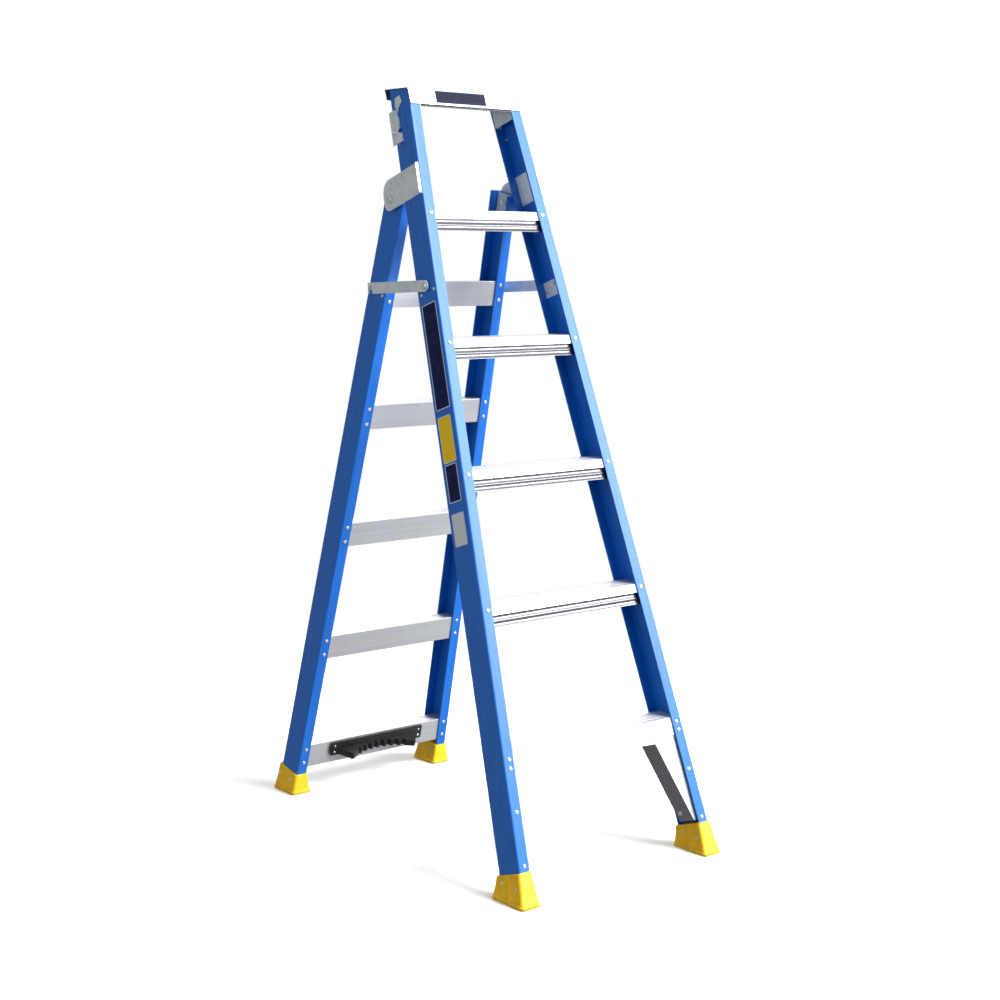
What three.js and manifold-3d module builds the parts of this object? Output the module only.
// Dual-purpose step ladder, standing open. Fibreglass channel stiles carry aluminium treads and rungs.
// Millimetres, +Z up, the climber's side facing -Y, the left side at -X.
import * as THREE from "three";
import { ConvexGeometry } from "three/addons/geometries/ConvexGeometry.js";
import { mergeVertices } from "three/addons/utils/BufferGeometryUtils.js";
import Module from "manifold-3d";

const wasm = await Module();
wasm.setup();

// ---- Driving sizes ----

// General
const GAP = 0.3; // between pieces that touch
const RAD = Math.PI / 180;
const DRILL = 20; // how far a drilling tool runs past a web, each way
const OVERRUN = 80; // stock left on a piece before its end is cut level

// Steps of both sections
const STEP_PITCH = 300; // up the slope
const STEPS = 5;

// Front section, measured along its slope from the ground
const FRONT_TILT = 19 * RAD; // lean back from the vertical
const FRONT_SPLAY = 4.05 * RAD; // each stile leans in from the middle plane
const FRONT_HALF = 289; // middle plane to the outside of a web, at the ground
const FRONT_DEPTH = 72;
const FRONT_FLANGE = 27.7;
const STILE_WALL = 3.5;
const STILE_CORNER = 4;
const TOP_ABOVE_TREAD = 289; // the highest nosing to the top of the cap

// Rear section
const REAR_TILT = 13.85 * RAD;
const REAR_SPLAY = 2.62 * RAD;
const REAR_DEPTH = 67.6;
const REAR_FLANGE = 28.3;
const REAR_ABOVE_PIVOT = 23; // stile end above the hinge bolt

// Main hinge
const PIVOT_DOWN = 223.6; // below the cap's top, down the slope
const SECTION_ROOM = 13.5; // between the two stiles, front to back
const HINGE_ROOM = 6.1; // between the outsides of the two webs, at the bolt
const BOLT_R = 6;
const BOLT_HEAD_RIM = 3.5;
const BOLT_HEAD_H = 6;
const BOLT_TAIL = 3;
const PLATE_T = 3;
const PLATE_HIGH = 72;
const PLATE_BELOW_PIVOT = 25.5;
const PLATE_BEHIND_PIVOT = 24.5;
const PLATE_RETURN = 5;
const PLATE_INSET = 1; // behind the stile's front face
const SPACER_WALL = 4.7;
const NUT_WALL = 2.7;
const NUT_H = 9;
const BACKING_WIDE = 41;
const BACKING_DROP = 2; // of an inside plate, against its neighbour
const REAR_BACKING_LONG = 92;

// Treads of the front section
const TREAD_FIRST = 323; // nosing of the lowest tread
const TREAD_SECOND = 640;
const TREAD_SLACK = 7.7; // left free behind a tread, inside the stile
const TREAD_WALL = 2.5;
const NOSING_HIGH = 19.4;
const NOSING_STEP = 5;
const SKIRT_HIGH = 27;
const SKIRT_RIM = 1.5;
const FLUTES = 2;
const FLUTE_DEEP = 1.6;
const FLUTE_SIDES = 6;
const TREAD_BACK_HIGH = 30;
const LIP = 6;
const GROOVES = 3;
const GROOVE_DEEP = 1.2;
const GROOVE_MOUTH = 3.2;
const GROOVE_FLOOR = 1.6;
const EASED = 0.7; // at the front corner of a tread or rung
const FASCIA_HIGH = 39;

// Knee braces under the lowest tread
const BRACE_WALL = 2.5;
const BRACE_DEEP = 47.5;
const BRACE_TOP = 316;
const BRACE_BOTTOM = 84;
const BRACE_TOP_WIDE = 100; // stile's inside to the leg's inner edge, at its top
const BRACE_BOTTOM_WIDE = 31;
const BRACE_ROOM = 0.4; // behind the fascia, besides the usual gap

// Cap
const CAP_OVERHANG = 2.5; // past the outside of a web
const CAP_WALL = 2.5;
const CAP_FRONT_HIGH = 38;
const CAP_BACK_HIGH = 27;
const CAP_BEHIND = 10; // back flange's outside to the stile's rear face
const CAP_BRACKET_HIGH = 58;
const CAP_BRACKET_WALL = 2.2;
const CAP_BRACKET_LEG = 17;

// Rungs of the rear section
const RUNG_FIRST = 68; // lower edge of the lowest rung
const RUNG_HIGH = 61;
const RUNG_SLACK = 5.6; // left free behind a rung, inside the stile
const RUNG_WALL = 2.5;
const RUNG_BACK_HIGH = 22;
const RUNG_LIP = 9;

// Spreaders
const SPREADER_DOWN = 232.5; // pivot on the front stile, below the hinge bolt
const SPREADER_AHEAD = 37; // of the front stile's rear face
const SPREADER_PIN_DOWN = 209; // pin on the rear stile, below the hinge bolt
const SPREADER_WIDE = 26;
const SPREADER_T = 3;
const SPREADER_STANDOFF = 3.5;
const SPREADER_TAIL = 11;
const SPREADER_LEAD = 2; // the hook's mouth is wider than its slot by this, each way
const SPREADER_LEAD_HIGH = 4;
const SPREADER_PIN_R = 5;
const SPREADER_PIN_PLAY = 1; // round the pin, in the hook
const SPREADER_RIVET_R = 5;
const SPREADER_RIVET_RIM = 3.5;
const SPREADER_HEAD_H = 3;
const SHOULDER_R = 9;
const COLLAR_T = 3;
const TAIL_IN = 4; // a pin's end inside the web
const SPREADER_BACKING_HIGH = 37;
const SPREADER_BACKING_LOW = 24; // below the rivet

// Latches at the stile tops
const LATCH_DOWN = 85; // pin below the top of the cap
const LATCH_IN = 8; // pin ahead of the stile's rear face
const LATCH_T = 2;
const LATCH_PIN_R = 3.5;
const LATCH_PIN_RIM = 2.5;
const LATCH_HEAD_H = 3;
const LATCH_STANDOFF = 3.6;
const BRACKET_LOW = 28; // below the pin
const BRACKET_HIGH = 52; // above the pin
const BRACKET_AHEAD = 17; // of the pin
const BRACKET_BEHIND = 12;
const BRACKET_STEP = 6; // the lower half stands further forward
const BRACKET_STEP_LOW = 8; // that half's top, below the pin
const BRACKET_NECK = 7; // notch between the halves
const BRACKET_CHAMFER = 8;
const LEVER_EYE = 9;
const LEVER_SHOULDER = 34; // above the pin
const LEVER_NECK = 52; // above the pin
const LEVER_NECK_AHEAD = 13; // of the pin
const LEVER_NECK_WIDE = 9;
const LEAF_HIGH = 10; // from the neck up to the leaf's widest
const LEAF_WIDE = 27;
const LEAF_TOP = 27; // from the neck up to the tip
const LEAF_TOP_WIDE = 19;

// Feet
const FOOT_HIGH = 76;
const REAR_FOOT_HIGH = 52;
const FOOT_WALL = 3.2;
const FOOT_FLARE = 11;
const FOOT_INNER_FLARE = 12;
const FOOT_HEEL = 4;
const FOOT_TOE = 2;
const SOLE_HIGH = 7;
const SOLE_GROOVE = 4;
const SOLE_GROOVE_WIDE = 5;
const SOLE_GROOVES = 5;
const REAR_STILE_FROM = 26; // up the slope, inside the rear foot

// Pole rest on the lowest rung
const REST_HALF = 143;
const REST_HIGH = 36;
const REST_BASE = 4;
const REST_EAR = 18;
const REST_REACH = 40;
const REST_HORN = 94; // middle plane to the tip of a horn
const REST_HORN_WIDE = 6;
const REST_VALLEY = 12; // saddle's lowest point in front of the rung
const REST_TEETH = 9;
const REST_TOOTH = 3;
const REST_TOOTH_FLANK = 0.3; // of a tooth's pitch
const REST_UP = 22; // above the rung's lower edge

// ---- Derived places ----

const FRONT_LENGTH = TREAD_SECOND + (STEPS - 2) * STEP_PITCH + TOP_ABOVE_TREAD;
const CAP_Z = FRONT_LENGTH * Math.cos(FRONT_TILT);
const CAP_DEPTH = FRONT_DEPTH + CAP_BEHIND;
const PIVOT_BACK = FRONT_DEPTH + SECTION_ROOM + REAR_DEPTH / 2;
const PIVOT_S = FRONT_LENGTH - PIVOT_DOWN;
const PIVOT_Y = PIVOT_S * Math.sin(FRONT_TILT) + PIVOT_BACK * Math.cos(FRONT_TILT);
const PIVOT_Z = PIVOT_S * Math.cos(FRONT_TILT) - PIVOT_BACK * Math.sin(FRONT_TILT);
const REAR_PIVOT_D = REAR_DEPTH / 2;
const REAR_PIVOT_S = (PIVOT_Z - REAR_PIVOT_D * Math.sin(REAR_TILT)) / Math.cos(REAR_TILT);
const REAR_Y = PIVOT_Y + REAR_PIVOT_S * Math.sin(REAR_TILT) - REAR_PIVOT_D * Math.cos(REAR_TILT);
const frontWebX = (s) => FRONT_HALF - s * Math.tan(FRONT_SPLAY);
const REAR_HALF = frontWebX(PIVOT_S) - HINGE_ROOM + REAR_PIVOT_S * Math.tan(REAR_SPLAY);
const rearWebX = (s) => REAR_HALF - s * Math.tan(REAR_SPLAY);
const REAR_PIN_S = REAR_PIVOT_S - SPREADER_PIN_DOWN;
const SPREADER_UP = PIVOT_S - SPREADER_DOWN;
const SPREADER_BACK = FRONT_DEPTH - SPREADER_AHEAD;
const LATCH_S = FRONT_LENGTH - LATCH_DOWN;
const LATCH_BACK = FRONT_DEPTH - LATCH_IN;
const CAP_HALF = frontWebX(FRONT_LENGTH) + CAP_OVERHANG;
const INSIDE = STILE_WALL + GAP; // from a stile's outside to a piece that lies against its inside
const TREAD_DEPTH = (FRONT_DEPTH - 2 * INSIDE - TREAD_SLACK) / Math.cos(FRONT_TILT);
const RUNG_DEPTH = (REAR_DEPTH - 2 * INSIDE - RUNG_SLACK) / Math.cos(REAR_TILT);

// ---- Solids ----

const WELD = 1e-4; // corners nearer than this are one corner

function withoutNormals(geometry) {
  const bare = geometry.clone();
  bare.deleteAttribute("normal");
  bare.deleteAttribute("uv");
  return bare;
}

function solid(geometry) {
  const merged = mergeVertices(withoutNormals(geometry), WELD);
  const mesh = new wasm.Mesh({
    numProp: 3,
    vertProperties: merged.attributes.position.array,
    triVerts: new Uint32Array(merged.index.array),
  });
  return new wasm.Manifold(mesh);
}

function geometryOf(manifold) {
  const mesh = manifold.getMesh();
  const geometry = new THREE.BufferGeometry();
  geometry.setAttribute("position", new THREE.BufferAttribute(new Float32Array(mesh.vertProperties), 3));
  geometry.setIndex(Array.from(mesh.triVerts));
  return geometry;
}

function cut(base, ...tools) {
  let result = solid(base);
  for (const tool of tools) result = result.subtract(solid(tool));
  return geometryOf(result);
}

function join(base, ...others) {
  let result = solid(base);
  for (const other of others) result = result.add(solid(other));
  return geometryOf(result);
}

function common(base, other) {
  return geometryOf(solid(base).intersect(solid(other)));
}

// A mirroring matrix turns the faces inside out, so their corners are put back in order.
function placed(geometry, matrix) {
  const result = mergeVertices(withoutNormals(geometry), WELD);
  result.applyMatrix4(matrix);
  if (matrix.determinant() < 0) {
    const index = result.index.array;
    for (let i = 0; i < index.length; i += 3) {
      const first = index[i];
      index[i] = index[i + 1];
      index[i + 1] = first;
    }
  }
  return result;
}

function shapeOf(points) {
  return new THREE.Shape(points.map(([a, b]) => new THREE.Vector2(a, b)));
}

function extruded(shape, length, curveSegments = 6) {
  return new THREE.ExtrudeGeometry(shape, { depth: length, bevelEnabled: false, curveSegments });
}

// A section drawn in Y and Z, running along X.
function alongX(shape, from, to, curveSegments) {
  const turn = new THREE.Matrix4().makeBasis(
    new THREE.Vector3(0, 1, 0),
    new THREE.Vector3(0, 0, 1),
    new THREE.Vector3(1, 0, 0),
  );
  return extruded(shape, to - from, curveSegments).applyMatrix4(turn).translate(from, 0, 0);
}

// A section drawn in X and Z, running along Y.
function alongY(shape, from, to, curveSegments) {
  const turn = new THREE.Matrix4().makeBasis(
    new THREE.Vector3(1, 0, 0),
    new THREE.Vector3(0, 0, 1),
    new THREE.Vector3(0, -1, 0),
  );
  return extruded(shape, to - from, curveSegments).applyMatrix4(turn).translate(0, to, 0);
}

function box(x0, x1, y0, y1, z0, z1) {
  const geometry = new THREE.BoxGeometry(x1 - x0, y1 - y0, z1 - z0);
  return geometry.translate((x0 + x1) / 2, (y0 + y1) / 2, (z0 + z1) / 2);
}

function rodX(radius, x0, x1, y, z, sides = 24) {
  const geometry = new THREE.CylinderGeometry(radius, radius, x1 - x0, sides);
  return geometry.rotateZ(-90 * RAD).translate((x0 + x1) / 2, y, z);
}

// A hole through a stile's web or the plates on it, drawn in the stile's frame.
function bore(radius, d, s) {
  return rodX(radius + GAP, -DRILL, DRILL, d, s);
}

// A button head on a shank, with its axis along X and its dome towards +X.
function headedRod(radius, x0, x1, headRadius, headHigh, y, z) {
  const profile = [
    [0, x0],
    [radius, x0],
    [radius, x1],
    [headRadius, x1],
    [headRadius, x1 + headHigh * 0.35],
    [headRadius * 0.8, x1 + headHigh * 0.8],
    [headRadius * 0.4, x1 + headHigh],
    [0, x1 + headHigh],
  ];
  const lathe = new THREE.LatheGeometry(profile.map(([a, b]) => new THREE.Vector2(a, b)), 24);
  return lathe.rotateZ(-90 * RAD).translate(0, y, z);
}

// The outline of a bent sheet: the given line and its copy moved to the right of it by the thickness.
function sheet(points, thickness) {
  const lines = points.map(([a, b]) => new THREE.Vector2(a, b));
  const moved = lines.map((point, i) => {
    const before = i > 0 ? point.clone().sub(lines[i - 1]).normalize() : null;
    const after = i < lines.length - 1 ? lines[i + 1].clone().sub(point).normalize() : null;
    const first = before ?? after;
    const second = after ?? before;
    const side = new THREE.Vector2(first.y + second.y, -first.x - second.x).normalize();
    const reach = thickness / side.dot(new THREE.Vector2(first.y, -first.x));
    return point.clone().addScaledVector(side, reach);
  });
  return new THREE.Shape([...lines, ...moved.reverse()]);
}

// ---- Frames of the two sections ----
// A piece fixed to a stile is drawn in (t, d, s): t outwards from the web's outside, d back from the
// stile's front face, s up the slope. A piece between the stiles is drawn in (x, d, s).

const frontFrame = new THREE.Matrix4().makeRotationX(-FRONT_TILT);
const rearFrame = new THREE.Matrix4()
  .makeTranslation(0, REAR_Y, 0)
  .multiply(new THREE.Matrix4().makeRotationX(REAR_TILT));

function stileFrame(frame, half, splay, side) {
  const slant = -side * Math.tan(splay);
  const local = new THREE.Matrix4().set(side, 0, slant, side * half, 0, 1, 0, 0, 0, 0, 1, 0, 0, 0, 0, 1);
  return frame.clone().multiply(local);
}

const onFront = (geometry, side) => placed(geometry, stileFrame(frontFrame, FRONT_HALF, FRONT_SPLAY, side));
const onRear = (geometry, side) => placed(geometry, stileFrame(rearFrame, REAR_HALF, REAR_SPLAY, side));

const place = (matrix, x, y, z) => new THREE.Vector3(x, y, z).applyMatrix4(matrix);
const mirrored = (geometry, side) => placed(geometry, new THREE.Matrix4().makeScale(side, 1, 1));

// ---- Materials ----

const finish = (color, roughness, metalness) => ({ color, roughness, metalness });
const FIBREGLASS = finish(0x1f5fc4, 0.42, 0);
const ALUMINIUM = finish(0xd4d7da, 0.32, 0.9);
const STEEL = finish(0x9fb0aa, 0.45, 0.8);
const YELLOW_RUBBER = finish(0xf2c414, 0.6, 0);
const BLACK_RUBBER = finish(0x17181c, 0.7, 0);

const group = new THREE.Group();

function add(name, geometry, look) {
  const clean = mergeVertices(withoutNormals(geometry), WELD);
  clean.computeVertexNormals();
  const mesh = new THREE.Mesh(clean, new THREE.MeshStandardMaterial(look));
  mesh.name = name;
  group.add(mesh);
}

const SIDES = [
  ["left", -1],
  ["right", 1],
];

// ---- Stiles: pultruded channels with the web outside and both flanges turned in ----

function channelShape(depth, flange) {
  const r = STILE_CORNER;
  const w = STILE_WALL;
  const shape = new THREE.Shape();
  shape.moveTo(-flange, 0);
  shape.lineTo(-r, 0);
  shape.quadraticCurveTo(0, 0, 0, r);
  shape.lineTo(0, depth - r);
  shape.quadraticCurveTo(0, depth, -r, depth);
  shape.lineTo(-flange, depth);
  shape.lineTo(-flange, depth - w);
  shape.lineTo(-w, depth - w);
  shape.lineTo(-w, w);
  shape.lineTo(-flange, w);
  return shape;
}

// Everything of the front section between two levels.
function levelSlab(low, high) {
  const wide = FRONT_HALF + OVERRUN;
  return box(-wide, wide, -FRONT_LENGTH, FRONT_LENGTH, low, high);
}

// The front stiles are cut level: on the ground side inside the foot, and under the cap.
function frontStile(side) {
  const channel = extruded(channelShape(FRONT_DEPTH, FRONT_FLANGE), FRONT_LENGTH + OVERRUN, 4);
  const bored = cut(
    channel,
    bore(SPREADER_RIVET_R, SPREADER_BACK, SPREADER_UP),
    bore(LATCH_PIN_R, LATCH_BACK, LATCH_S),
  );
  const low = FOOT_WALL + SOLE_GROOVE + GAP;
  return common(onFront(bored, side), levelSlab(low, CAP_Z - CAP_WALL - GAP));
}

function rearStile(side) {
  const length = REAR_PIVOT_S + REAR_ABOVE_PIVOT - REAR_STILE_FROM;
  const channel = extruded(channelShape(REAR_DEPTH, REAR_FLANGE), length, 4);
  const bored = cut(
    channel.translate(0, 0, REAR_STILE_FROM),
    bore(BOLT_R, REAR_PIVOT_D, REAR_PIVOT_S),
    bore(SPREADER_PIN_R, REAR_PIVOT_D, REAR_PIN_S),
  );
  return onRear(bored, side);
}

// ---- Treads: extruded aluminium, ribbed on top, with a bright nosing and a grooved skirt ----

// Shallow grooves along a top, in (y, z) from its front edge.
function groovedTop(depth) {
  const land = depth / (GROOVES + 1);
  const points = [];
  for (let i = 1; i <= GROOVES; i += 1) {
    points.push([i * land - GROOVE_MOUTH / 2, 0]);
    points.push([i * land - GROOVE_FLOOR / 2, -GROOVE_DEEP]);
    points.push([i * land + GROOVE_FLOOR / 2, -GROOVE_DEEP]);
    points.push([i * land + GROOVE_MOUTH / 2, 0]);
  }
  return points;
}

// The skirt's face from its lower edge up: hollow flutes between narrow flats, as [drop, depth].
function skirtFace() {
  const high = (SKIRT_HIGH - (FLUTES + 1) * SKIRT_RIM) / FLUTES;
  const points = [];
  for (let i = FLUTES - 1; i >= 0; i -= 1) {
    const top = NOSING_HIGH + SKIRT_RIM + i * (high + SKIRT_RIM);
    for (let j = FLUTE_SIDES; j >= 0; j -= 1) {
      const share = j / FLUTE_SIDES;
      points.push([top + share * high, NOSING_STEP + FLUTE_DEEP * Math.sin(Math.PI * share)]);
    }
  }
  return points;
}

// Drawn in (y, z) from the nosing's top edge. The front follows the stile's slope.
function treadShape(fascia) {
  const slope = Math.tan(FRONT_TILT);
  const back = TREAD_DEPTH;
  const w = TREAD_WALL;
  const under = w + GROOVE_DEEP;
  const at = (down, inward) => [-down * slope + inward, -down];
  const drop = NOSING_HIGH + SKIRT_HIGH;
  const behind = NOSING_STEP + FLUTE_DEEP + w;
  const front = fascia
    ? [at(FASCIA_HIGH, w), at(FASCIA_HIGH, 0)]
    : [
        at(drop - w, behind + LIP),
        at(drop, behind + LIP),
        at(drop, NOSING_STEP),
        ...skirtFace().map(([down, inward]) => at(down, inward)),
        at(NOSING_HIGH, NOSING_STEP),
        at(NOSING_HIGH, 0),
      ];
  const inner = fascia
    ? [at(under, w)]
    : [at(under, w), at(NOSING_HIGH - w, w), at(NOSING_HIGH - w, behind), at(drop - w, behind)];
  return shapeOf([
    ...front,
    at(EASED, 0),
    [EASED, 0],
    ...groovedTop(back),
    at(0, back),
    at(TREAD_BACK_HIGH, back),
    at(TREAD_BACK_HIGH, back - LIP),
    at(TREAD_BACK_HIGH - w, back - LIP),
    at(TREAD_BACK_HIGH - w, back - w),
    at(under, back - w),
    ...inner,
  ]);
}

function tread(number) {
  const s = number === 1 ? TREAD_FIRST : TREAD_SECOND + (number - 2) * STEP_PITCH;
  // The back edge is the highest up the slope, where the stiles are closest.
  const highest = s + TREAD_DEPTH * Math.sin(FRONT_TILT);
  const half = frontWebX(highest) - INSIDE - GAP;
  const y = s * Math.sin(FRONT_TILT) + INSIDE / Math.cos(FRONT_TILT);
  const z = s * Math.cos(FRONT_TILT);
  return alongX(treadShape(number === 1), -half, half).translate(0, y, z);
}

// ---- Knee braces: folded aluminium, a front leg behind the stile's flange and a deep web ----

function kneeBrace(side) {
  const front = INSIDE + TREAD_WALL + GAP + BRACE_ROOM;
  const outer = (s) => frontWebX(s) - INSIDE - GAP;
  const topX = outer(BRACE_TOP) - BRACE_TOP_WIDE;
  const bottomX = outer(BRACE_BOTTOM) - BRACE_BOTTOM_WIDE;
  const slope = (bottomX - topX) / (BRACE_TOP - BRACE_BOTTOM);
  const across = BRACE_WALL * Math.hypot(1, slope);
  const leg = shapeOf([
    [topX, BRACE_TOP],
    [bottomX, BRACE_BOTTOM],
    [outer(BRACE_BOTTOM), BRACE_BOTTOM],
    [outer(BRACE_TOP), BRACE_TOP],
  ]);
  // The web stops below the tread's front corner and clears the tread's back flange.
  const webTop = TREAD_FIRST - TREAD_DEPTH * Math.tan(FRONT_TILT) - TREAD_BACK_HIGH;
  const webTopX = bottomX - (webTop - BRACE_BOTTOM) * slope;
  const web = shapeOf([
    [webTopX, webTop],
    [bottomX, BRACE_BOTTOM],
    [bottomX + across, BRACE_BOTTOM],
    [webTopX + across, webTop],
  ]);
  const foot = box(
    bottomX,
    outer(BRACE_BOTTOM),
    front,
    front + BRACE_DEEP,
    BRACE_BOTTOM,
    BRACE_BOTTOM + BRACE_WALL,
  );
  const brace = join(
    alongY(leg, front, front + BRACE_WALL),
    alongY(web, front, front + BRACE_DEEP),
    foot,
  );
  const frame = frontFrame.clone().multiply(new THREE.Matrix4().makeScale(side, 1, 1));
  return placed(brace, frame);
}

// ---- Cap: a folded aluminium channel over the stile tops, on a bracket in each stile ----

function topCap() {
  const at = (d, down) => {
    const z = CAP_Z - down * Math.cos(FRONT_TILT);
    return [z * Math.tan(FRONT_TILT) + d / Math.cos(FRONT_TILT), z];
  };
  const front = -GAP - CAP_WALL;
  const line = [at(front, CAP_FRONT_HIGH), at(front, 0), at(CAP_DEPTH, 0), at(CAP_DEPTH, CAP_BACK_HIGH)];
  return alongX(sheet(line, CAP_WALL), -CAP_HALF, CAP_HALF);
}

function capBracket(side) {
  const inner = -FRONT_FLANGE + GAP;
  const low = INSIDE;
  const high = FRONT_DEPTH - INSIDE;
  const section = sheet(
    [
      [inner + CAP_BRACKET_LEG, low],
      [inner, low],
      [inner, high],
      [inner + CAP_BRACKET_LEG, high],
    ],
    CAP_BRACKET_WALL,
  );
  const from = FRONT_LENGTH - CAP_BRACKET_HIGH;
  const insert = onFront(extruded(section, CAP_BRACKET_HIGH + OVERRUN).translate(0, 0, from), side);
  return common(insert, levelSlab(0, CAP_Z - CAP_WALL - 2 * GAP));
}

// ---- Main hinge: a steel plate outside each front stile carries the bolt the rear stile turns on ----

function hingePlate(side) {
  const low = PIVOT_S - PLATE_BELOW_PIVOT;
  const high = low + PLATE_HIGH;
  const end = PIVOT_BACK + PLATE_BEHIND_PIVOT;
  const edge = PLATE_INSET;
  const outline = new THREE.Shape();
  outline.moveTo(edge, low);
  outline.lineTo(end - 20, low);
  outline.quadraticCurveTo(end, low + 2, end, low + 22);
  outline.lineTo(end, high - 32);
  outline.quadraticCurveTo(end - 2, high - 4, end - 26, high);
  outline.lineTo(edge, high);
  const plate = alongX(outline, GAP, GAP + PLATE_T, 5);
  const fold = box(GAP, GAP + PLATE_T + PLATE_RETURN, edge, edge + PLATE_T, low + edge, high - edge);
  const bored = cut(join(plate, fold), bore(BOLT_R, PIVOT_BACK, PIVOT_S));
  return onFront(bored, side);
}

function hingeBacking(side) {
  const back = FRONT_DEPTH - INSIDE;
  const low = PIVOT_S - PLATE_BELOW_PIVOT - BACKING_DROP;
  const t = -INSIDE;
  return onFront(box(t - PLATE_T, t, back - BACKING_WIDE, back, low, low + PLATE_HIGH), side);
}

function rearBacking(side) {
  const t = -INSIDE;
  const high = REAR_PIVOT_S + REAR_ABOVE_PIVOT - BACKING_DROP;
  const plate = box(t - PLATE_T, t, INSIDE, REAR_DEPTH - INSIDE, high - REAR_BACKING_LONG, high);
  return onRear(cut(plate, bore(BOLT_R, REAR_PIVOT_D, REAR_PIVOT_S)), side);
}

// Faces square to the bolt sit clear of the plates, which lean with the stiles.
const clearOf = (radius, splay) => radius * Math.tan(splay) + GAP;
const BOLT_HEAD_R = BOLT_R + BOLT_HEAD_RIM;
const SPACER_R = BOLT_R + GAP + SPACER_WALL;
const NUT_R = BOLT_R + GAP + NUT_WALL;
const PLATE_INNER_X = frontWebX(PIVOT_S) + GAP;
const PLATE_OUTER_X = PLATE_INNER_X + PLATE_T;
const REAR_WEB_X = rearWebX(REAR_PIVOT_S);
const REAR_LINING_X = REAR_WEB_X - INSIDE - PLATE_T;
const NUT_X = REAR_LINING_X - clearOf(NUT_R, REAR_SPLAY) - NUT_H;

function hingeBolt(side) {
  const seat = PLATE_OUTER_X + clearOf(BOLT_HEAD_R, FRONT_SPLAY);
  const bolt = headedRod(BOLT_R, NUT_X - BOLT_TAIL, seat, BOLT_HEAD_R, BOLT_HEAD_H, PIVOT_Y, PIVOT_Z);
  return mirrored(bolt, side);
}

function hingeSpacer(side) {
  const from = REAR_WEB_X + clearOf(SPACER_R, REAR_SPLAY);
  const to = PLATE_INNER_X - clearOf(SPACER_R, FRONT_SPLAY);
  const ring = cut(
    rodX(SPACER_R, from, to, PIVOT_Y, PIVOT_Z),
    rodX(BOLT_R + GAP, from - DRILL, to + DRILL, PIVOT_Y, PIVOT_Z),
  );
  return mirrored(ring, side);
}

function hingeNut(side) {
  const nut = cut(
    rodX(NUT_R, NUT_X, NUT_X + NUT_H, PIVOT_Y, PIVOT_Z, 6),
    rodX(BOLT_R + GAP, NUT_X - DRILL, NUT_X + DRILL, PIVOT_Y, PIVOT_Z),
  );
  return mirrored(nut, side);
}

// ---- Spreaders: flat steel bars that hook over a pin on each rear stile ----

const SPREADER_PIVOT = place(frontFrame, 0, SPREADER_BACK, SPREADER_UP);
const SPREADER_PIN = place(rearFrame, 0, REAR_PIVOT_D, REAR_PIN_S);
const SPREADER_X = frontWebX(SPREADER_UP) + SPREADER_STANDOFF;

function spreaderBar(side) {
  const reach = SPREADER_PIN.clone().sub(SPREADER_PIVOT);
  const length = Math.hypot(reach.y, reach.z);
  const half = SPREADER_WIDE / 2;
  const slot = SPREADER_PIN_R + SPREADER_PIN_PLAY;
  const end = length + SPREADER_TAIL;
  const outline = new THREE.Shape();
  outline.moveTo(0, -half);
  outline.lineTo(length - slot - SPREADER_LEAD, -half);
  outline.lineTo(length - slot, -half + SPREADER_LEAD_HIGH);
  outline.lineTo(length - slot, 0);
  outline.absarc(length, 0, slot, Math.PI, 0, true);
  outline.lineTo(length + slot + SPREADER_LEAD, -half);
  outline.lineTo(end, -half);
  outline.lineTo(end, half);
  outline.lineTo(0, half);
  outline.absarc(0, 0, half, Math.PI / 2, (3 * Math.PI) / 2, false);
  const bar = alongX(outline, SPREADER_X, SPREADER_X + SPREADER_T, 10);
  const bored = cut(bar, rodX(SPREADER_RIVET_R + GAP, SPREADER_X - DRILL, SPREADER_X + DRILL, 0, 0));
  bored.rotateX(Math.atan2(reach.z, reach.y)).translate(0, SPREADER_PIVOT.y, SPREADER_PIVOT.z);
  return mirrored(bored, side);
}

// The rivet runs through the front stile and its backing plate and carries a shoulder under the bar.
function spreaderRivet(side) {
  const { y, z } = SPREADER_PIVOT;
  const web = frontWebX(SPREADER_UP);
  const inside = web - INSIDE - PLATE_T - TAIL_IN;
  const seat = SPREADER_X + SPREADER_T + GAP;
  const headR = SPREADER_RIVET_R + SPREADER_RIVET_RIM;
  const rivet = join(
    headedRod(SPREADER_RIVET_R, inside, seat, headR, SPREADER_HEAD_H, y, z),
    rodX(SHOULDER_R, web + clearOf(SHOULDER_R, FRONT_SPLAY), SPREADER_X - GAP, y, z),
  );
  return mirrored(rivet, side);
}

function spreaderBacking(side) {
  const back = FRONT_DEPTH - INSIDE;
  const t = -INSIDE;
  const low = SPREADER_UP - SPREADER_BACKING_LOW;
  const plate = box(t - PLATE_T, t, back - BACKING_WIDE, back, low, low + SPREADER_BACKING_HIGH);
  return onFront(cut(plate, bore(SPREADER_RIVET_R, SPREADER_BACK, SPREADER_UP)), side);
}

// The pin ends just short of the bar, so that the rear section can be folded past it.
function spreaderPin(side) {
  const { y, z } = SPREADER_PIN;
  const web = rearWebX(REAR_PIN_S);
  const collar = web + clearOf(SHOULDER_R, REAR_SPLAY);
  const pin = join(
    rodX(SPREADER_PIN_R, web - STILE_WALL - TAIL_IN, SPREADER_X - GAP, y, z),
    rodX(SHOULDER_R, collar, collar + COLLAR_T, y, z),
  );
  return mirrored(pin, side);
}

// ---- Latches: sprung steel catches at the stile tops for the extended position ----

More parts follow.
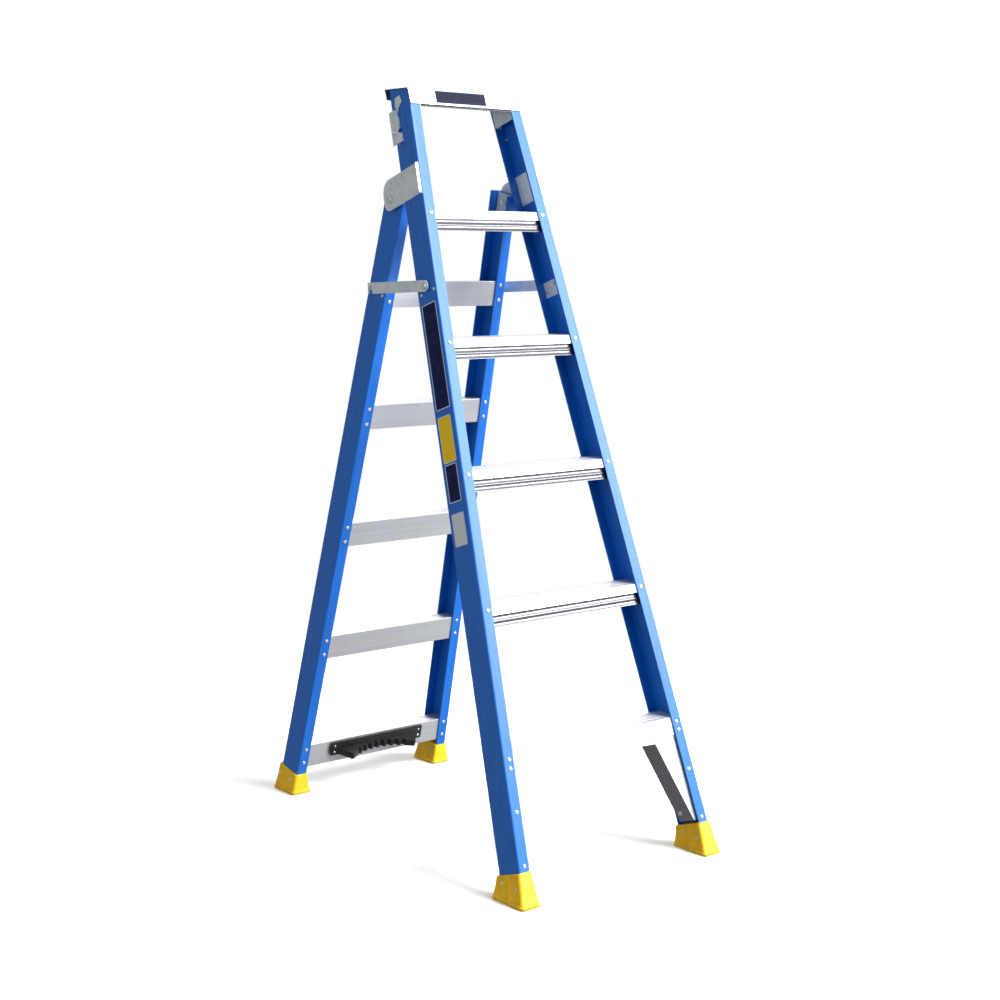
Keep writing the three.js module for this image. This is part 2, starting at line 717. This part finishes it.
function latchBracket(side) {
  const t = LATCH_STANDOFF;
  const low = LATCH_S - BRACKET_LOW;
  const high = LATCH_S + BRACKET_HIGH;
  const front = LATCH_BACK - BRACKET_AHEAD;
  const foot = front - BRACKET_STEP;
  const footTop = LATCH_S - BRACKET_STEP_LOW;
  const notch = footTop + BRACKET_NECK;
  const plate = alongX(
    shapeOf([
      [foot, low],
      [LATCH_BACK + BRACKET_BEHIND, low],
      [LATCH_BACK + BRACKET_BEHIND, high],
      [front + BRACKET_CHAMFER, high],
      [front, high - BRACKET_CHAMFER],
      [front, notch + BRACKET_NECK / 2],
      [front + BRACKET_NECK, notch],
      [foot, footTop],
    ]),
    t,
    t + LATCH_T,
  );
  // The upper lip ends below the lever's bend.
  const lipTop = LATCH_S + LEVER_SHOULDER;
  const upperLip = box(GAP, t + LATCH_T, front, front + LATCH_T, notch + BRACKET_NECK, lipTop);
  const lowerLip = box(GAP, t + LATCH_T, foot, foot + LATCH_T, low, footTop);
  return onFront(cut(join(plate, upperLip, lowerLip), bore(LATCH_PIN_R, LATCH_BACK, LATCH_S)), side);
}

// A flat lever behind the bracket, with a spade-shaped thumb leaf standing above it.
function latchLever(side) {
  const t = 2 * GAP;
  const at = (ahead, up) => [LATCH_BACK - ahead, LATCH_S + up];
  const neck = LEVER_NECK_AHEAD;
  const widest = LEVER_NECK + LEAF_HIGH;
  const tip = LEVER_NECK + LEAF_TOP;
  const leaf = neck - LEVER_NECK_WIDE / 3;
  const lever = new THREE.Shape();
  lever.absarc(...at(0, 0), LEVER_EYE, Math.PI, 0, false);
  lever.lineTo(...at(-LEVER_EYE, LEVER_SHOULDER));
  lever.lineTo(...at(neck, LEVER_NECK));
  lever.lineTo(...at(leaf, widest));
  lever.lineTo(...at(neck, tip - LATCH_T));
  lever.lineTo(...at(neck + LEAF_TOP_WIDE, tip));
  lever.lineTo(...at(leaf + LEAF_WIDE, widest));
  lever.lineTo(...at(neck + LEVER_NECK_WIDE, LEVER_NECK));
  lever.lineTo(...at(neck, LEVER_SHOULDER));
  const flat = alongX(lever, t, t + LATCH_T, 5);
  return onFront(cut(flat, bore(LATCH_PIN_R, LATCH_BACK, LATCH_S)), side);
}

const LATCH_PIVOT = place(frontFrame, 0, LATCH_BACK, LATCH_S);

function latchPin(side) {
  const web = frontWebX(LATCH_S);
  const headR = LATCH_PIN_R + LATCH_PIN_RIM;
  const seat = web + LATCH_STANDOFF + LATCH_T + clearOf(headR, FRONT_SPLAY);
  const inside = web - STILE_WALL - TAIL_IN;
  const { y, z } = LATCH_PIVOT;
  return mirrored(headedRod(LATCH_PIN_R, inside, seat, headR, LATCH_HEAD_H, y, z), side);
}

// ---- Rungs of the rear section: a tall front face and a narrow ribbed top ----

function rungShape() {
  const slope = Math.tan(REAR_TILT);
  const high = RUNG_HIGH * Math.cos(REAR_TILT);
  const w = RUNG_WALL;
  const under = w + GROOVE_DEEP;
  const back = RUNG_DEPTH;
  const at = (down, inward) => [down * slope + inward, -down];
  return shapeOf([
    at(high, 0),
    at(EASED, 0),
    [EASED, 0],
    ...groovedTop(back),
    at(0, back),
    at(RUNG_BACK_HIGH, back),
    at(RUNG_BACK_HIGH, back - w),
    at(under, back - w),
    at(under, w),
    at(high - w, w),
    at(high - w, RUNG_LIP),
    at(high, RUNG_LIP),
  ]);
}

function rung(number) {
  const top = RUNG_FIRST + RUNG_HIGH + (number - 1) * STEP_PITCH;
  const half = rearWebX(top) - INSIDE - GAP;
  const corner = place(rearFrame, 0, INSIDE, top);
  return alongX(rungShape(), -half, half).translate(0, corner.y, corner.z);
}

// ---- Pole rest: a moulded rubber saddle with serrated jaws, on the lowest rung ----

function poleRest() {
  const reach = -REST_REACH;
  const low = RUNG_FIRST + REST_UP;
  const points = [
    [REST_HALF, 0],
    [REST_HALF, -REST_BASE],
    [REST_HALF - REST_EAR, -REST_BASE],
    [REST_HORN + REST_HORN_WIDE, reach],
    [REST_HORN, reach],
  ];
  // Teeth follow a shallow arc from one horn to the other.
  const sag = REST_REACH - REST_VALLEY;
  const bow = (x) => reach + sag * (1 - (x / REST_HORN) ** 2);
  const pitch = (2 * REST_HORN) / REST_TEETH;
  const flank = REST_TOOTH_FLANK * pitch;
  for (let i = 1; i <= REST_TEETH; i += 1) {
    const x = REST_HORN - i * pitch;
    points.push([x + pitch - flank, bow(x + pitch - flank) + REST_TOOTH]);
    points.push([x + flank, bow(x + flank) + REST_TOOTH]);
    points.push([x, bow(x)]);
  }
  points.push(
    [-REST_HORN - REST_HORN_WIDE, reach],
    [-REST_HALF + REST_EAR, -REST_BASE],
    [-REST_HALF, -REST_BASE],
    [-REST_HALF, 0],
  );
  const block = extruded(shapeOf(points.reverse()), REST_HIGH).translate(0, 0, low);
  return placed(block.translate(0, STILE_WALL, 0), rearFrame);
}

// ---- Feet: moulded yellow rubber boots, flared to a treaded sole that stands flat ----

function boot(frame, half, splay, flange, depth, high, side) {
  const matrix = stileFrame(frame, half, splay, side);
  const outer = FOOT_WALL + GAP;
  const inner = -flange - outer;
  const back = depth + outer + FOOT_HEEL;
  const collar = [
    [inner, -outer],
    [outer, -outer],
    [outer, back],
    [inner, back],
  ];
  const points = collar.map(([t, d]) => place(matrix, t, d, high));
  // The sole's corners lie on the ground, wider than the collar all round.
  const toe = place(matrix, 0, -outer - FOOT_TOE, 0).y;
  const heel = place(matrix, 0, back, 0).y + FOOT_HEEL;
  for (const z of [0, SOLE_HIGH]) {
    for (const x of [half + inner - FOOT_INNER_FLARE, half + FOOT_FLARE]) {
      points.push(new THREE.Vector3(side * x, toe, z), new THREE.Vector3(side * x, heel, z));
    }
  }
  // The socket is a channel that fits round the stile's web and flanges.
  const deep = high + OVERRUN;
  const filled = box(-flange - GAP, GAP, -GAP, depth + GAP, -deep, deep);
  const plug = box(inner, -INSIDE, INSIDE, depth - INSIDE, -deep - GAP, deep + GAP);
  const above = levelSlab(FOOT_WALL + SOLE_GROOVE, deep);
  const socket = common(placed(cut(filled, plug), matrix), above);
  const grooves = [];
  for (let i = 1; i <= SOLE_GROOVES; i += 1) {
    const y = toe + ((heel - toe) * i) / (SOLE_GROOVES + 1);
    const wide = SOLE_GROOVE_WIDE / 2;
    grooves.push(box(-half - OVERRUN, half + OVERRUN, y - wide, y + wide, -OVERRUN, SOLE_GROOVE));
  }
  return cut(new ConvexGeometry(points), socket, ...grooves);
}

const frontFoot = (side) =>
  boot(frontFrame, FRONT_HALF, FRONT_SPLAY, FRONT_FLANGE, FRONT_DEPTH, FOOT_HIGH, side);
const rearFoot = (side) =>
  boot(rearFrame, REAR_HALF, REAR_SPLAY, REAR_FLANGE, REAR_DEPTH, REAR_FOOT_HIGH, side);

// ---- Assembly ----

for (const [name, side] of SIDES) {
  add(`front_stile_${name}`, frontStile(side), FIBREGLASS);
  add(`rear_stile_${name}`, rearStile(side), FIBREGLASS);
  add(`front_foot_${name}`, frontFoot(side), YELLOW_RUBBER);
  add(`rear_foot_${name}`, rearFoot(side), YELLOW_RUBBER);
  add(`knee_brace_${name}`, kneeBrace(side), ALUMINIUM);
  add(`cap_bracket_${name}`, capBracket(side), STEEL);
  add(`hinge_plate_${name}`, hingePlate(side), STEEL);
  add(`hinge_backing_${name}`, hingeBacking(side), STEEL);
  add(`rear_backing_${name}`, rearBacking(side), STEEL);
  add(`hinge_bolt_${name}`, hingeBolt(side), STEEL);
  add(`hinge_spacer_${name}`, hingeSpacer(side), STEEL);
  add(`hinge_nut_${name}`, hingeNut(side), STEEL);
  add(`spreader_bar_${name}`, spreaderBar(side), STEEL);
  add(`spreader_rivet_${name}`, spreaderRivet(side), STEEL);
  add(`spreader_backing_${name}`, spreaderBacking(side), STEEL);
  add(`spreader_pin_${name}`, spreaderPin(side), STEEL);
  add(`latch_bracket_${name}`, latchBracket(side), STEEL);
  add(`latch_lever_${name}`, latchLever(side), STEEL);
  add(`latch_pin_${name}`, latchPin(side), STEEL);
}
for (let i = 1; i <= STEPS; i += 1) {
  add(`tread_${i}`, tread(i), ALUMINIUM);
  add(`rung_${i}`, rung(i), ALUMINIUM);
}
add("top_cap", topCap(), ALUMINIUM);
add("pole_rest", poleRest(), BLACK_RUBBER);

// The origin is the middle of the footprint, on the ground.
const bounds = new THREE.Box3().setFromObject(group);
const middle = bounds.getCenter(new THREE.Vector3());
for (const mesh of group.children) mesh.geometry.translate(0, -middle.y, -bounds.min.z);

export default group;
